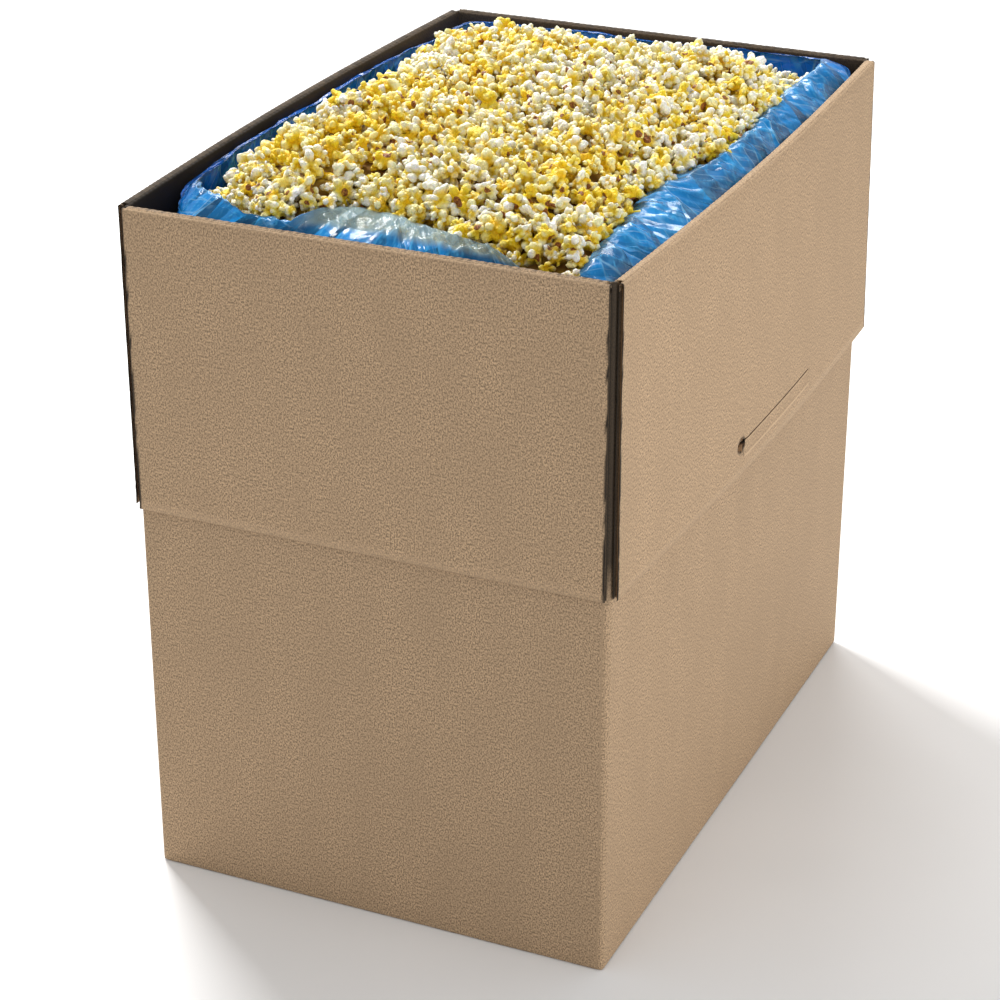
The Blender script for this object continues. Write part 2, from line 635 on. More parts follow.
def build_walls(settings, kraft):
    """The four walls as one closed shell.

    Round the outline, a section is carried: up the outside, over a half-round top bead with a bump on
    each flute, and down the inside; the side walls bow out by a half cosine.
    """
    corner_radius = 0.005
    corner_grime = 0.92
    spacing = settings.flute_pitch / 5
    outline, normals, distance = rounded_outline(HALF_WIDTH, HALF_DEPTH, corner_radius, spacing)
    heights = np.concatenate(((0.0, 0.0006, 0.0025), np.linspace(0.02, RIM - 0.012, 30),
                              (RIM - 0.008, RIM - 0.005, RIM - 0.003)))
    bottom_inset = np.where(heights < 0.002, 0.0012 * (1 - heights / 0.002), 0.0)
    turn = np.linspace(0.0, math.pi, 9)
    bead = BOARD / 2
    depth = np.concatenate((bottom_inset, bead - bead * np.cos(turn), np.full(12, BOARD)))
    height = np.concatenate((heights, RIM - bead + bead * np.sin(turn),
                             np.linspace(RIM - 0.006, 0.004, 12)))
    flutes = flute_wave(distance, settings.flute_pitch)
    unevenness = lattice_noise(distance / 0.011, distance * 0 + 3.5, 21)
    on_bead = (height > RIM - bead)[:, None]
    bump = np.where(on_bead, 0.00045 * flutes[None] + 0.0002 * unevenness[None], 0.0)
    rows, columns = len(height), len(outline)
    grid = np.zeros((rows, columns, 3))
    grid[..., :2] = outline[None] - normals[None] * depth[:, None, None]
    grid[..., 2] = height[:, None] - bump * 0.9
    grid = bulged(grid, HALF_WIDTH)
    faces = grid_faces(rows, columns, closed=True)
    last = (rows - 1) * columns
    column = np.arange(columns)
    following = (column + 1) % columns
    foot = np.stack((last + column, last + following, following, column), axis=-1)
    faces = np.concatenate((faces, foot))
    from_corner = np.maximum(HALF_WIDTH - np.abs(outline[:, 0]), HALF_DEPTH - np.abs(outline[:, 1]))
    near_corner = smooth_step((0.0075 - from_corner) / 0.0045)
    is_far = (outline[:, 0] < -INSIDE_HALF_WIDTH) | (outline[:, 1] > INSIDE_HALF_DEPTH)
    outside = np.arange(rows)[:, None] < len(heights) + np.where(is_far, 1, 6)[None]
    beside_slot = smooth_step((height - (RIM - FLAP_LENGTH - 0.004)) / 0.030)[:, None]
    grime = np.where(outside, corner_grime * near_corner[None] * beside_slot, 0.0)
    depth_shade = 0.86 + 0.12 * is_far * smooth_step((0.25 - outline[:, 1]) / 0.4)
    shaded = height[:, None] < RIM + np.where(is_far, 0.001, -0.0035)[None]
    grime = np.maximum(grime, np.where(outside, 0.0, depth_shade[None]) * shaded)
    worn = np.where(on_bead, 0.18 * flutes[None], 0.0)
    board_map = np.stack(np.broadcast_arrays(distance[None], height[:, None]), axis=-1).reshape(-1, 2)
    values = {"worn": worn.ravel(), "grime": grime.ravel()}
    piece = new_piece("carton_walls", grid.reshape(-1, 3), faces, (kraft,), values=values,
                      board_map=board_map)
    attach(piece, "carton")
    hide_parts("carton_body")


def flap_frame(side):
    """The directions along a flap and out of it, and the distance of its wall from the middle."""
    outward = {"front": (0, -1, 0), "back": (0, 1, 0), "left": (-1, 0, 0), "right": (1, 0, 0)}[side]
    is_side = side in ("left", "right")
    along = (0, 1, 0) if is_side else (1, 0, 0)
    distance = HALF_WIDTH if is_side else HALF_DEPTH
    half_length = (HALF_DEPTH if is_side else HALF_WIDTH) - FLAP_END_RECESS + END_REACH
    return np.array(along, float), np.array(outward, float), distance, half_length, is_side


def flap_place(side, along, drop, depth):
    """Points of a flap from a length along the crease, a drop from the rim and a depth from its inner face.

    A side flap follows the wall's bow, and leans out in proportion to the drop and to the place along it.
    """
    along_axis, outward, distance, half_length, is_side = flap_frame(side)
    lean = FLAP_LEAN * (0.5 + 0.5 * along / half_length) * drop / FLAP_LENGTH
    offset = FLAP_GAP + (side_bulge(along, RIM - drop) + lean if is_side else 0.0)
    points = (distance + offset + depth)[..., None] * outward + along[..., None] * along_axis
    points[..., 2] = RIM - drop
    return points


def slit_rows(side):
    """Places down a flap, close together over the hand slit and its fold line on a side flap."""
    rows = np.linspace(0.012, FLAP_LENGTH, 26)
    if side in ("left", "right"):
        close = SLIT_DROP + np.arange(-12, 25) * SLIT_WIDTH / 2
        rows = np.concatenate((rows[rows < close[0] - 0.002], close, rows[rows > close[-1] + 0.002]))
    return rows


def slit_columns(side, half_length, spacing):
    """Places along a flap, closer together round the hand slit's torn end on a side flap."""
    columns = np.linspace(-half_length, half_length, int(round(2 * half_length / spacing)) + 1)
    if side in ("left", "right"):
        close = np.arange(SLIT_FRONT - 0.018, SLIT_FRONT + 0.010, SLIT_WIDTH / 2)
        before = columns[columns < close[0] - 0.001]
        after = columns[columns > close[-1] + 0.001]
        columns = np.concatenate((before, close, after))
    return columns


def in_slit(along, drop):
    """True inside the hand slit or the torn hole at its front end, an oval with a ragged edge."""
    slit = (along > SLIT_FRONT) & (along < SLIT_BACK) & (np.abs(drop - SLIT_DROP) < SLIT_WIDTH * 0.55)
    reach_along = (along - (SLIT_FRONT - 0.004)) / 0.0085
    reach_down = (drop - (SLIT_DROP + 0.002)) / 0.0062
    ragged = 1.0 + 0.28 * lattice_noise(along * 420.0, drop * 420.0, 31)
    return slit | (np.hypot(reach_along, reach_down) < ragged)


def slit_marks(along, drops):
    """Relief, wear and grime round a side flap's hand slit: its lip, its fold line and its torn end."""
    fold_drop = SLIT_DROP + 0.0136
    tear_depth = 0.00096
    within = smooth_step((along - SLIT_FRONT) / 0.004) * smooth_step((SLIT_BACK + 0.002 - along) / 0.004)
    fold = within * np.exp(-((drops - fold_drop) / 0.0009) ** 2)
    above = within * np.exp(-((drops - fold_drop + 0.0016) / 0.0010) ** 2)
    lip = within * np.exp(-((drops - SLIT_DROP - 0.0022) / 0.0012) ** 2)
    crack = np.exp(-((along - SLIT_FRONT) / 0.0008) ** 2) * (drops > SLIT_DROP) * (drops < fold_drop)
    tear = np.hypot((along - SLIT_FRONT + 0.004) / 0.0105, (drops - SLIT_DROP - 0.002) / 0.0085)
    relief = 0.0006 * fold - 0.0006 * lip - tear_depth * np.exp(-tear ** 4)
    worn = np.maximum(1.3 * fold, 0.5 * lip)
    round_tear = 0.9 * np.exp(-((tear - 0.70) / 0.15) ** 2)
    return relief, worn, np.maximum(np.maximum(0.12 * above, 0.75 * crack), round_tear)


def without_slit(faces, holes):
    """The faces that don't lie wholly in the slit's holes."""
    return faces[~holes.ravel()[faces].all(axis=1)]


def flap_outside(side, settings):
    """Outer paper face of a flap, which starts over the fold: points, faces, map, wear and grime."""
    _, outward, _, half_length, is_side = flap_frame(side)
    far_fold_grime = 0.75
    columns = slit_columns(side, half_length, settings.flute_pitch / 4)
    bead = BOARD / 2
    turn = np.linspace(math.pi, 0.0, 9)
    rows = slit_rows(side)
    depth = np.concatenate((np.zeros(2), bead + bead * np.cos(turn), np.full(len(rows), BOARD)))[:, None]
    drop = np.concatenate((np.array((0.007, 0.004)), bead - bead * np.sin(turn), rows))
    along = np.broadcast_to(columns, (len(drop), len(columns))).copy()
    ragged = 0.0005 * lattice_noise(drop / 0.004, drop * 0 + 1.5, 51)[:, None]
    at_end = np.abs(columns) > half_length - 1e-6
    along -= np.sign(columns) * at_end * (0.0005 + ragged)
    flutes = flute_wave(columns, settings.flute_pitch)[None]
    on_fold = ((drop < bead) & (np.arange(len(drop)) > 1))[:, None]
    drops = drop[:, None] + np.where(on_fold, 0.0005 * flutes, 0.0)
    relief = np.zeros_like(along)
    worn = np.where(on_fold, 0.30 + 0.25 * flutes, 0.0)
    worn = np.maximum(worn, 0.35 * smooth_step((drops - FLAP_LENGTH + 0.002) / 0.002))
    cut = 0.0020 + 0.0009 * lattice_noise(drops / 0.0035, along * 0 + 4.5, 52)
    grime = smooth_step((np.abs(along) - half_length + cut) / 0.0008)
    if side in ("left", "back"):
        grime = np.maximum(grime, far_fold_grime * on_fold)
    if is_side:
        relief, slit_worn, slit_grime = slit_marks(along, drops)
        worn = np.maximum(worn, slit_worn)
        grime = np.maximum(grime, slit_grime)
    grid = flap_place(side, along, drops, depth + relief * (depth > OUTER_FACE))
    faces, normals = facing(grid, (len(drop) - 3, len(columns) // 3), outward)
    if is_side:
        faces = without_slit(faces, in_slit(along, drops) & (depth > OUTER_FACE))
    points, faces = thickened(grid, faces, normals, settings.paper)
    return points, faces, both_maps(along, RIM - drops), both_sides(worn), both_sides(grime)


def flap_inside(side, settings):
    """Inner paper face of a flap: points, faces, map, wear and grime."""
    _, outward, _, half_length, is_side = flap_frame(side)
    drop = np.linspace(0.003, FLAP_LENGTH - 0.0003, 12)
    along = np.linspace(-half_length + 0.0004, half_length - 0.0004, 61)
    if is_side:
        drop = np.sort(np.append(drop, SLIT_DROP + np.array(SLIT_EDGES)))
        along = np.sort(np.append(along, (SLIT_FRONT + 0.0001, SLIT_BACK - 0.0001)))
    along, drop = np.meshgrid(along, drop)
    grid = flap_place(side, along, drop, np.zeros_like(along))
    faces, _ = facing(grid, (6, 20), -outward)
    if is_side:
        faces = without_slit(faces, in_slit(along, drop))
    points, faces = thickened(grid, faces, np.broadcast_to(-outward, grid.shape), settings.paper)
    grime = smooth_step((np.abs(along) - half_length + 0.006) / 0.004)
    return points, faces, both_maps(along, RIM - drop), np.zeros(len(points)), both_sides(grime)


def flap_medium(side, settings):
    """The wavy paper inside a flap, a sine wave along it: points, faces, map, wear and grime."""
    _, outward, _, half_length, is_side = flap_frame(side)
    thin = 0.00035
    end_gap = 0.0032
    drop = np.linspace(0.005, FLAP_LENGTH - 0.0006, 14)
    if is_side:
        drop = np.sort(np.append(drop, SLIT_DROP + np.array(SLIT_EDGES)))
    along = np.arange(-half_length + end_gap, half_length - end_gap, settings.flute_pitch / 8)
    along, drop = np.meshgrid(along, drop)
    height = 0.5 * (BOARD - 2 * settings.paper - thin)
    wave = height * np.cos(2 * math.pi * along / settings.flute_pitch)
    grid = flap_place(side, along, drop, BOARD / 2 + wave)
    faces, normals = facing(grid, (6, 20), outward)
    grime = np.zeros_like(along)
    if is_side:
        faces = without_slit(faces, in_slit(along, drop))
        grime = (np.abs(drop - SLIT_DROP) < 0.003) * (along > SLIT_FRONT) * (along < SLIT_BACK)
    points, faces = thickened(grid + 0.5 * thin * normals, faces, normals, thin)
    return points, faces, np.zeros((len(points), 2)), np.zeros(len(points)), both_sides(grime)


def build_flap(side, settings, kraft, flute):
    """One flap: an outer and an inner paper face, and the wavy paper between them."""
    parts = [make(side, settings) for make in (flap_outside, flap_inside, flap_medium)]
    points, faces = joined(parts)
    face_material = np.repeat((0, 0, 1), [len(part[1]) for part in parts])
    board_map, worn, grime = (np.concatenate([part[index] for part in parts]) for index in (2, 3, 4))
    piece = new_piece("flap_%s_board" % side, points, faces, (kraft, flute),
                      face_material, {"worn": worn, "grime": grime}, board_map)
    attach(piece, side + "_flap")
    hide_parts("flap_" + side)


def build_crease(side, settings, kraft):
    """The folded paper from the crest of the wall's edge to the flap's: a low arch with a fine dent.

    Its height bumps on each flute, and the dent lies over the gap between wall and flap.
    """
    along_axis, outward, distance, half_length, is_side = flap_frame(side)
    end = half_length - CREASE_RECESS
    columns = np.linspace(-end, end, int(2 * half_length / 0.0016))
    across = np.linspace(-0.62 * BOARD, FLAP_GAP + 0.62 * BOARD, 19)
    share = (across - across[0]) / (across[-1] - across[0])
    arch = 0.0007 * np.sin(math.pi * share) ** 0.7 - 0.0003 * np.exp(-((share - 0.30) / 0.06) ** 2)
    bulge = rim_bow(columns) if is_side else np.zeros_like(columns)
    grid = ((distance + bulge[None] + across[:, None])[..., None] * outward
            + columns[None, :, None] * along_axis)
    flutes = flute_wave(columns, settings.flute_pitch)
    uneven = 0.0002 * lattice_noise(columns / 0.009, columns * 0 + 0.5, 24)
    edge = np.minimum(share, 1 - share)
    fall = 0.0006 * np.clip(1.0 - edge / 0.12, 0.0, 1.0) ** 2
    grid[..., 2] = RIM + (arch - fall)[:, None] + (uneven - 0.00025 * flutes)[None]
    faces, normals = facing(grid, (4, 10), (0.0, 0.0, 1.0))
    points, faces = thickened(grid, faces, normals, 0.0003)
    broken = smooth_step(0.5 + 1.2 * lattice_noise(columns / 0.0025, columns * 0 + 7.5, 25))[None]
    if side == "right":
        grime = 0.42 * smooth_step((0.16 - share) / 0.08)[:, None] * (0.6 + 0.4 * broken)
    elif side == "front":
        on_flutes = 0.22 + 0.66 * flutes * (0.5 + 0.5 * broken)
        grime = smooth_step((0.86 - share) / 0.12)[:, None] * on_flutes
    else:
        grime = smooth_step((1.12 - share) / 0.12)[:, None] * (0.84 + 0.1 * broken)
    worn = 0.18 * flutes[None] * (share > 0.4)[:, None]
    piece = new_piece("crease_%s" % side, points, faces, (kraft,),
                      values={"worn": both_sides(worn), "grime": both_sides(grime)},
                      board_map=both_maps(columns[None], RIM + across[:, None]))
    blend_over_hinge(piece)


def blend_over_hinge(piece):
    """Bend a piece between the carton and a flap, over a reach on either side of the flap's hinge."""
    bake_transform(piece)


def build_fold(side, kraft):
    """The outside paper at a straight fold: up the wall's face, round a half circle and down the flap.

    It lies in the gap between the two, and comes out as the crease's ridge when the flap is raised.
    """
    along_axis, outward, distance, half_length, _ = flap_frame(side)
    leg, bend, inset, paper = 0.008, 0.00035, 0.00015, 0.0001
    end = half_length - CREASE_RECESS
    turn = np.linspace(math.pi, 0.0, 9)
    rise = np.linspace(-leg, -0.0008, 5)
    depth = inset + np.concatenate((np.zeros(5), bend + bend * np.cos(turn), np.full(5, 2 * bend)))
    height = np.concatenate((rise, -0.00045 + bend * np.sin(turn), rise[::-1]))
    columns = np.linspace(-end, end, 121)
    grid = (distance + depth)[:, None, None] * outward + columns[None, :, None] * along_axis
    grid[..., 2] = RIM + height[:, None]
    points, faces = thickened(grid, grid_faces(*grid.shape[:2]), grid_normals(grid), paper)
    path = np.concatenate(((0.0,), np.cumsum(np.hypot(np.diff(depth), np.diff(height)))))
    worn = np.broadcast_to(0.3 * np.sin(math.pi * path / path[-1])[:, None] ** 6, grid.shape[:2])
    piece = new_piece("fold_%s" % side, points, faces, (kraft,),
                      values={"worn": both_sides(worn), "grime": np.zeros(len(points))},
                      board_map=both_maps(columns[None], path[:, None]))
    blend_over_hinge(piece)


def build_bottom(kraft):
    """The closed bottom: two outer flaps that meet at a seam, and the boards above them.

    Each board is a grid of points over a rectangle, given the board's thickness, with its rim rounded down.
    """
    seam = 0.001
    edge = 0.0015
    gap = 0.0002
    boards = (("left", -HALF_WIDTH + edge, -seam, 0.0, edge), ("right", seam, HALF_WIDTH - edge, 0.0, edge),
              ("inner", -INSIDE_HALF_WIDTH, INSIDE_HALF_WIDTH, BOARD + gap, edge + BOARD))
    for tag, low, high, level, inset in boards:
        columns = np.linspace(low, high, 25)
        rows = np.linspace(-HALF_DEPTH + inset, HALF_DEPTH - inset, 49)
        grid = np.zeros((len(rows), len(columns), 3))
        grid[..., 0] = columns[None]
        grid[..., 1] = rows[:, None]
        away = np.minimum(np.abs(columns - low), np.abs(columns - high))
        grid[..., 2] = level + 0.0004 * (away < 1e-6)[None]
        faces = grid_faces(len(rows), len(columns))[:, ::-1]
        points, faces = thickened(grid, faces, np.broadcast_to((0.0, 0.0, -1.0), grid.shape), BOARD - gap)
        none = np.zeros(len(points))
        board_map = both_maps(grid[..., 0], grid[..., 1])
        piece = new_piece("bottom_%s" % tag, points, faces, (kraft,),
                          values={"worn": none, "grime": none}, board_map=board_map)
        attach(piece, "carton")


# Film and heap

def outline_places(side_steps):
    """Places on the edge of a unit square, side by side from the right one round to the front one."""
    x, y = [], []
    for index, steps in enumerate(side_steps):
        across = -1.0 + 2.0 * np.arange(steps) / steps
        ones = np.ones(steps)
        x.append((ones, -across, -ones, across)[index])
        y.append((across, ones, -across, -ones)[index])
    return np.concatenate(x), np.concatenate(y)


def outline_point(unit_x, unit_y, sizes, sharpness, corner=0.0):
    """Rounded rectangle: a place on the unit square is drawn in to a curve of equal powers, then stretched.

    The power is higher at the two right corners, where the film reaches farther into the carton's corner,
    and higher again by the corner's own value at the front right one.
    """
    left, right, front, back = sizes
    power = sharpness + FRONT_RIGHT_SHARPNESS_GAIN * np.maximum(0.0, unit_x) * np.abs(unit_y)
    power = power + corner * np.maximum(0.0, unit_x) * np.maximum(0.0, -unit_y) ** 2
    norm = (np.abs(unit_x) ** power + np.abs(unit_y) ** power) ** (1.0 / power)
    x = unit_x / norm * np.where(unit_x > 0, right, left)
    y = unit_y / norm * np.where(unit_y > 0, back, front)
    return x, y


def side_shares(x, y):
    """How much of each side of the carton a place near its edge belongs to."""
    across = x / INSIDE_HALF_WIDTH
    along = y / INSIDE_HALF_DEPTH
    weights = {"left": np.maximum(0.0, -across) ** 16, "right": np.maximum(0.0, across) ** 16,
               "front": np.maximum(0.0, -along) ** 16, "back": np.maximum(0.0, along) ** 16}
    total = sum(weights.values()) + 1e-12
    return {side: weight / total for side, weight in weights.items()}


def bell(place, middle, low_spread, high_spread):
    """A bell curve with a different spread on each side of its middle."""
    return np.exp(-((place - middle) / np.where(place < middle, low_spread, high_spread)) ** 2)


def cuff_widths(x, y):
    """Width of the film folded in from each side.

    The right cuff is widest a third of the way back. The front one has a broad tongue with a steep left
    side, a shoulder towards the left corner, and runs out at the right one.
    """
    right = RIGHT_HEM + RIGHT_SWELL * bell(y, RIGHT_SWELL_Y, 0.11, 0.055) + 0.006 * bell(y, 0.165, 0.04, 0.04)
    tongue = smooth_step((x - TONGUE_LEFT) / 0.020) * bell(x, TONGUE_PEAK, 0.1, 0.095)
    shoulder = smooth_step((-0.100 - x) / 0.045) + 0.55 * smooth_step((-0.165 - x) / 0.02)
    tuck = RIGHT_CORNER_TUCK * smooth_step((x - 0.09) / 0.08)
    front = FRONT_HEM + TONGUE_WIDTH * tongue + SHOULDER_WIDTH * shoulder - tuck
    hem = np.full_like(right, NARROW_HEM)
    return hem, right, front, hem


def in_tongue(x):
    """How far a place along the front lies within the film's tongue, from 0 to 1."""
    return smooth_step((x - TONGUE_LEFT) / 0.02) * smooth_step((TONGUE_RIGHT - x) / 0.04)


def bag_top(x, y):
    """Height of the bag's top where it leaves the wall, blended between the sides."""
    return RIM - sum(share * TOP_DROP[side] for side, share in side_shares(x, y).items())


def bag_sizes(depth):
    """Half widths and half depths of the bag at a depth from its wall: left, right, front and back."""
    half_width = INSIDE_HALF_WIDTH - FILM_GAP - depth
    half_depth = INSIDE_HALF_DEPTH - FILM_GAP - depth
    return half_width, half_width, half_depth, half_depth


def wall_sharpness(height):
    """Power of the bag's outline at a height: it falls from the full bow's height to the rim."""
    share = smooth_step((height - BULGE_FULL_HEIGHT) / (RIM - BULGE_FULL_HEIGHT))
    return BAG_SHARPNESS_LOW + (BAG_SHARPNESS_TOP - BAG_SHARPNESS_LOW) * share


def wall_ring(side_steps, depth, height, sharpness):
    """One round of the bag's wall at a height, or along its top where no height is given."""
    sizes = bag_sizes(depth)
    x, y = outline_point(*outline_places(side_steps), sizes, sharpness)
    z = bag_top(x, y) - depth if height is None else np.full_like(x, height)
    return bulged(np.stack((x, y, z), axis=-1), sizes[0])


def pillow(reach):
    """Rise of the folded film over its width: a little more than a quarter sine, highest near the hem."""
    return np.sin(0.56 * math.pi * np.clip((reach - 0.03) / 0.97, 0.0, 1.0))


def cuff_ring(side_steps, depth, reach):
    """One round of the folded film at a share of its width: it stays low by the wall, then swells up."""
    unit_place = outline_places(side_steps)
    wall = bag_sizes(depth)
    wall_x, wall_y = outline_point(*unit_place, wall, BAG_SHARPNESS_TOP)
    widths = cuff_widths(wall_x, wall_y)
    sizes = [size - width * reach for size, width in zip(wall, widths)]
    x, y = outline_point(*unit_place, sizes, BAG_SHARPNESS_TOP, CUFF_CORNER_SHARPNESS * reach)
    share = side_shares(wall_x, wall_y)
    in_front = share["front"] * smooth_step((widths[2] - 0.002) / 0.018)
    swell = CUFF_SWELL * (share["right"] + in_front) * pillow(reach)
    z = bag_top(wall_x, wall_y) + swell - depth
    return bulged(np.stack((x, y, z), axis=-1), wall[0])


def cap_grid(ring, steps, height_of=None, level=None):
    """Fill a ring with a square grid: each inner square is the ring drawn towards the middle.

    A point of the unit square takes the ring's point in its own direction, scaled by its larger coordinate.
    """
    span = -1.0 + 2.0 * np.arange(steps + 1) / steps
    grid_x, grid_y = np.meshgrid(span, span)
    size = np.maximum(np.abs(grid_x), np.abs(grid_y))
    safe = np.where(size > 0, size, 1.0)
    unit_x, unit_y = grid_x / safe, grid_y / safe
    on_side = (unit_x >= 1.0, unit_y >= 1.0, unit_x <= -1.0)
    along = ((unit_y + 1) / 2, 1 + (1 - unit_x) / 2, 2 + (1 - unit_y) / 2)
    exact = np.select(on_side, along, 3 + (unit_x + 1) / 2) * steps
    index = np.rint(exact).astype(int) % (4 * steps)
    lower = np.floor(exact + 1e-9).astype(int)
    share = np.clip(exact - lower, 0.0, 1.0)[..., None]
    grid = ring[lower % (4 * steps)] * (1 - share) + ring[(lower + 1) % (4 * steps)] * share
    edge_height = grid[..., 2].copy()
    grid[..., :2] *= size[..., None]
    if level is not None:
        grid[..., 2] = level
    if height_of is not None:
        blend = smooth_step((1.0 - size) / 0.05)
        grid[..., 2] = edge_height * (1 - blend) + height_of(grid[..., 0], grid[..., 1]) * blend
    return grid, np.where(size >= 1.0, index, -1)


def joined_to_ring(grid, edge_index, ring_start, first_free):
    """Number a cap's points so that its outer ones are the ring's own, and list the new ones."""
    numbers = np.empty(edge_index.shape, dtype=int)
    inner = edge_index < 0
    numbers[~inner] = ring_start + edge_index[~inner]
    numbers[inner] = first_free + np.arange(inner.sum())
    return numbers, grid[inner]


def cap_faces(numbers):
    """Faces of a cap from its grid of point numbers."""
    corners = (numbers[:-1, :-1], numbers[:-1, 1:], numbers[1:, 1:], numbers[1:, :-1])
    return np.stack(corners, axis=-1).reshape(-1, 4)


def film_folds(around, up):
    """Height of the film's folds from 0 to 1, and how near each place is to a sharp crest.

    Five sets of slanted folds are added, from wide to narrow. Each is a triangle wave round the bag, so
    that its crests are sharp and the film between them is nearly flat; noise shifts its phase and lets it
    come and go.
    """
    height = np.zeros_like(around)
    sharp = np.zeros_like(around)
    total = 0.0
    for index, (cycles, slant, weight) in enumerate(FOLD_SETS):
        shift = 0.9 * lattice_noise(around * 36, up * 0.9, 70 + index, 36)
        shift = shift + 0.25 * lattice_noise(around * 120, up * 2.5, 80 + index, 120)
        phase = around * cycles + slant * up + shift
        wave = np.abs(2.0 * (phase - np.floor(phase)) - 1.0)
        coming = lattice_noise(around * cycles * 0.5, up * 0.7 + 5.0, 90 + index, cycles // 2)
        presence = smooth_step(0.55 + 0.8 * coming)
        height += weight * presence * wave ** 1.5
        sharp = np.maximum(sharp, presence * np.clip((wave - 0.84) / 0.16, 0.0, 1.0) ** 2)
        total += weight
    return height / total, sharp


def straight_runs(around, count, seed):
    """Straight runs round a ring from -1 to 1: random values at even steps, joined by straight lines."""
    values = np.random.default_rng(seed).uniform(-1.0, 1.0, count)
    return np.interp(around * count, np.arange(count + 1), np.append(values, values[0]))


def film_rounds():
    """Rounds of the film from its bottom seam up the wall and over the cuff, and how far up each one is.

    The last number runs from 0 low on the wall to WALL_TOP and on to HEM, the cuff's hem.
    """
    level = FLOOR + FILM_GAP
    rings, ups = [], []
    foot = wall_ring(FILM_STEPS, 0.0, level, BAG_SHARPNESS_LOW)
    for draw in (0.004, 0.3, 0.65, 1.0):
        rings.append(foot * (draw, 0.98 + 0.02 * draw, 1.0))
        ups.append(0.0)
    for height in (0.10, 0.20, 0.30, 0.39, 0.46):
        rings.append(wall_ring(FILM_STEPS, 0.0, height, wall_sharpness(height)))
        ups.append(0.0)
    top = wall_ring(FILM_STEPS, 0.0, None, BAG_SHARPNESS_TOP)
    start = rings[-1]
    for part in 1.0 - np.linspace(1.0, 0.0, 17)[1:] ** 1.7:
        rings.append(start + (top - start) * part)
        ups.append(WALL_TOP * part ** 2)
    for reach in np.linspace(0.0, 1.0, 24)[1:]:
        rings.append(cuff_ring(FILM_STEPS, 0.0, reach))
        ups.append(WALL_TOP + reach * (HEM - WALL_TOP))
    return np.array(rings), np.array(ups)


def film_grid(base, around, up, wide, share, settings):
    """The film's points from its smooth rounds, and how near each is to a sharp fold that shows.

    Wall points move in by the height of the folds and cuff points move up by it. The hem wavers in and
    out and curls down, and the top of the wall's film wavers up and down on the left and at the back.
    """
    folds, sharp = film_folds(around, up)
    on_cuff = smooth_step((up - WALL_TOP) / 0.3)
    in_sight = smooth_step((up - 0.8) / 0.8)
    inward = -base / np.maximum(np.linalg.norm(base[..., :2], axis=-1, keepdims=True), 1e-9)
    inward[..., 2] = 0.0
    lift = folds * settings.crumple * in_sight
    grid = base + inward * (lift * (1 - on_cuff * wide) * 1.1)[..., None]
    away = smooth_step((up - 2.25) / 0.55)
    grid[..., 2] += lift * away * wide * 1.25 - 0.002 * away * wide
    hem = smooth_step((up - 3.3) / 0.7)
    waver = straight_runs(around, 62, 17) + 0.5 * straight_runs(around, 170, 18)
    grid += inward * (hem * wide * waver * 0.0042)[..., None]
    grid[..., 2] -= hem ** 2 * wide * (0.0035 + 0.0015 * waver)
    rise = 0.0042 * lattice_noise(around * 40, around * 0 + 0.5, 19, 40)
    rise = rise + 0.0016 * lattice_noise(around * 130, around * 0 + 0.5, 20, 130) - 0.001
    grid[..., 2] += rise * (1 - wide) * smooth_step((up - 1.0) / 1.0)
    scallop = 0.5 + 0.5 * lattice_noise(around * 30, around * 0 + 0.5, 26, 30)
    loose = (share["left"] + 0.5 * share["back"])[None] * smooth_step((up - 0.5) / 1.4)
    corner = smooth_step((-0.20 - grid[..., 1]) / 0.08)
    grid += inward * (loose * (0.001 + 0.005 * scallop + 0.008 * corner))[..., None]
    return grid, sharp * in_sight


def film_map(base, top):
    """Map of the film in metres: the way round its top and up its rounds, and the length once round."""
    runs = np.linalg.norm(np.diff(top, axis=0, append=top[:1]), axis=-1)
    travel = np.concatenate(((0.0,), np.cumsum(runs)[:-1]))
    climb = np.cumsum(np.linalg.norm(np.diff(base, axis=0, prepend=base[:1]), axis=-1), axis=0)
    return both_maps(travel[None], climb), runs.sum()


def build_film(settings, film):
    """The film bag as one sheet: bottom seam, wall and cuff, folded and crumpled where it shows."""
    base, ups = film_rounds()
    rows, columns = base.shape[:2]
    around, up = np.meshgrid(np.arange(columns) / columns, ups)
    top = wall_ring(FILM_STEPS, 0.0, None, BAG_SHARPNESS_TOP)
    share = side_shares(top[:, 0], top[:, 1])
    wide = (share["right"] + share["front"])[None]
    grid, sharp = film_grid(base, around, up, wide, share, settings)
    normals = grid_normals(grid)
    on_right_wall = (8, FILM_STEPS[0] // 2, 0)
    if normals[on_right_wall] < 0:
        normals = -normals
    points, faces = thickened(grid, grid_faces(rows, columns, closed=True), normals, settings.thickness)
    over_heap = smooth_step((up - 2.55) / 0.35) * share["front"][None] * in_tongue(grid[..., 0])
    over_heap = np.maximum(over_heap, 0.25 * smooth_step((up - 3.2) / 0.8) * wide)
    crease = np.maximum(sharp, smooth_step((up - 3.86) / 0.14) * wide)
    far = np.broadcast_to((share["left"] + share["back"])[None], up.shape)
    rim = far * smooth_step((up - 1.75) / 0.3)
    numbers = (("crease", crease), ("thin", over_heap), ("far", far), ("rim", rim))
    board_map, once_round = film_map(base, top)
    piece = new_piece("film_bag", points, faces, (film,), board_map=board_map, wrap=once_round,
                      values={label: both_sides(value) for label, value in numbers})
    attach(piece, "carton")
    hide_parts("liner_bag")


